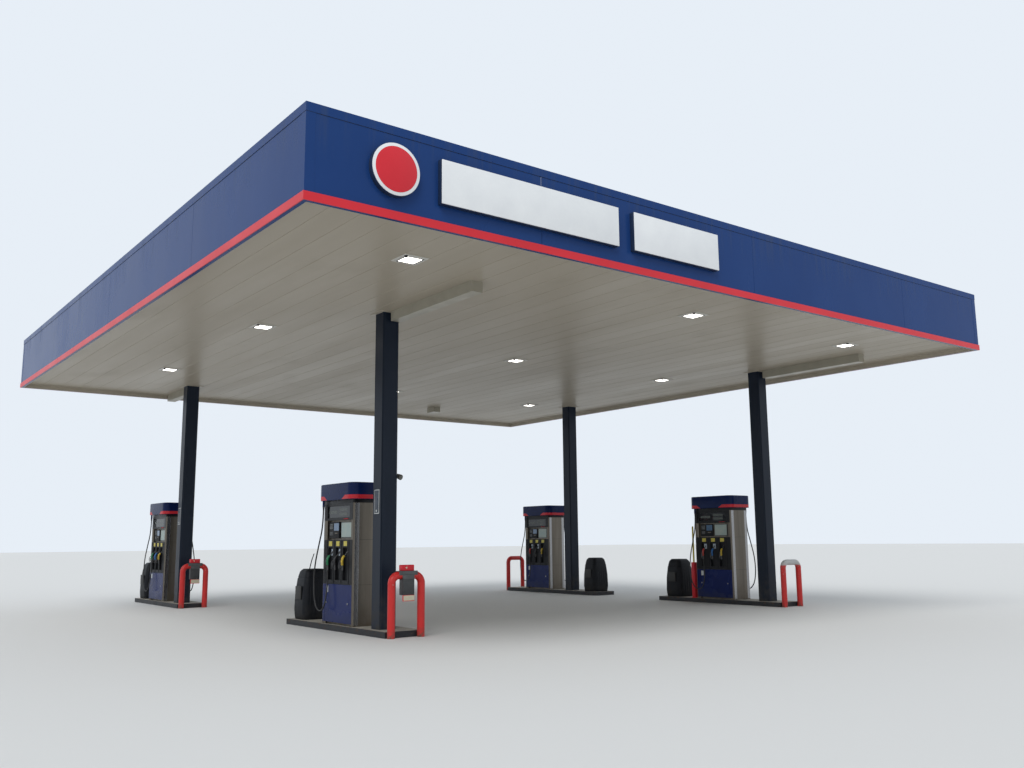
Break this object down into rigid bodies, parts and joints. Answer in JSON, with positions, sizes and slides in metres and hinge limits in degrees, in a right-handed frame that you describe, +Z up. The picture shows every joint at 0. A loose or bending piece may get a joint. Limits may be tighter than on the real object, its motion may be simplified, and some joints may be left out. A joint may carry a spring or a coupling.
{
  "type": "filling station canopy",
  "caption": "Flat-roofed open canopy on square steel columns, with a deep panelled fascia, recessed ceiling lights and pump islands with dispensers and pipe guards.",
  "frame": {"origin": "centre of the whole outline, roof and islands, on the ground that they stand on", "axes": "+Z up, +X along the sign fascia to the right, +Y from the sign fascia towards the back"},
  "size_m": [15.028, 17.0902, 6.476],
  "materials": {
    "bin_black": "moulded, weathered",
    "ceiling_white": "semi-gloss warm white enamel",
    "column_paint": "semi-gloss dark blue-black paint",
    "concrete": "trowelled concrete",
    "dispenser_black": "moulded",
    "dispenser_blue": "gloss blue",
    "fascia_navy": "gloss navy sheet",
    "galvanised_steel": "galvanised",
    "guard_red": "gloss red paint",
    "hose_rubber": "smooth rubber",
    "kerb_steel": "worn dark paint",
    "lens": "clear prismatic lens",
    "sign_white": "white acrylic face",
    "stainless": "brushed stainless",
    "trim_red": "gloss red"
  },
  "bodies": {
    "root": {"ceiling_trim": "ceiling_white", "column_collars": "ceiling_white", "column_front_left": "column_paint", "column_front_right": "column_paint", "column_rear_left": "column_paint", "column_rear_right": "column_paint", "coping": "fascia_navy", "deck_pans_left": "ceiling_white", "deck_pans_middle": "ceiling_white", "deck_pans_right": "ceiling_white", "dispenser_cabinet_front_left": "dispenser_black", "dispenser_cabinet_front_right": "dispenser_black", "dispenser_cabinet_rear_left": "dispenser_black", "dispenser_cabinet_rear_right": "dispenser_black", "dispenser_end_panels": "stainless", "dispenser_skirts": "dispenser_blue", "dispenser_toppers": "fascia_navy", "display_heads": "dispenser_black", "drain_covers": "ceiling_white", "fascia_back": "fascia_navy", "fascia_frame_back": "galvanised_steel", "fascia_frame_front": "galvanised_steel", "fascia_frame_left": "galvanised_steel", "fascia_frame_right": "galvanised_steel", "fascia_front": "fascia_navy", "fascia_left": "fascia_navy", "fascia_right": "fascia_navy", "fuel_nozzles": "dispenser_black", "guard_front_left": "guard_red", "guard_front_right": "guard_red", "guard_rear_left": "guard_red", "guard_rear_right": "guard_red", "guard_stations": "dispenser_black", "hose_front_left_left": "hose_rubber", "hose_front_left_right": "hose_rubber", "hose_front_right_left": "hose_rubber", "hose_front_right_right": "hose_rubber", "hose_rear_left_left": "hose_rubber", "hose_rear_left_right": "hose_rubber", "hose_rear_right_left": "hose_rubber", "hose_rear_right_right": "hose_rubber", "island_front_left": "concrete", "island_front_right": "concrete", "island_kerbs": "kerb_steel", "island_rear_left": "concrete", "island_rear_right": "concrete", "light_housings": "ceiling_white", "light_lenses": "lens", "litter_bin_front_left": "bin_black", "litter_bin_front_right": "bin_black", "litter_bin_rear_left": "bin_black", "litter_bin_rear_right": "bin_black", "main_beam_left": "galvanised_steel", "main_beam_right": "galvanised_steel", "nozzle_boots": "dispenser_black", "purlins_left": "galvanised_steel", "purlins_middle": "galvanised_steel", "purlins_right": "galvanised_steel", "red_band": "trim_red", "sign_cabinets": "sign_white"}
  },
  "joints": []
}
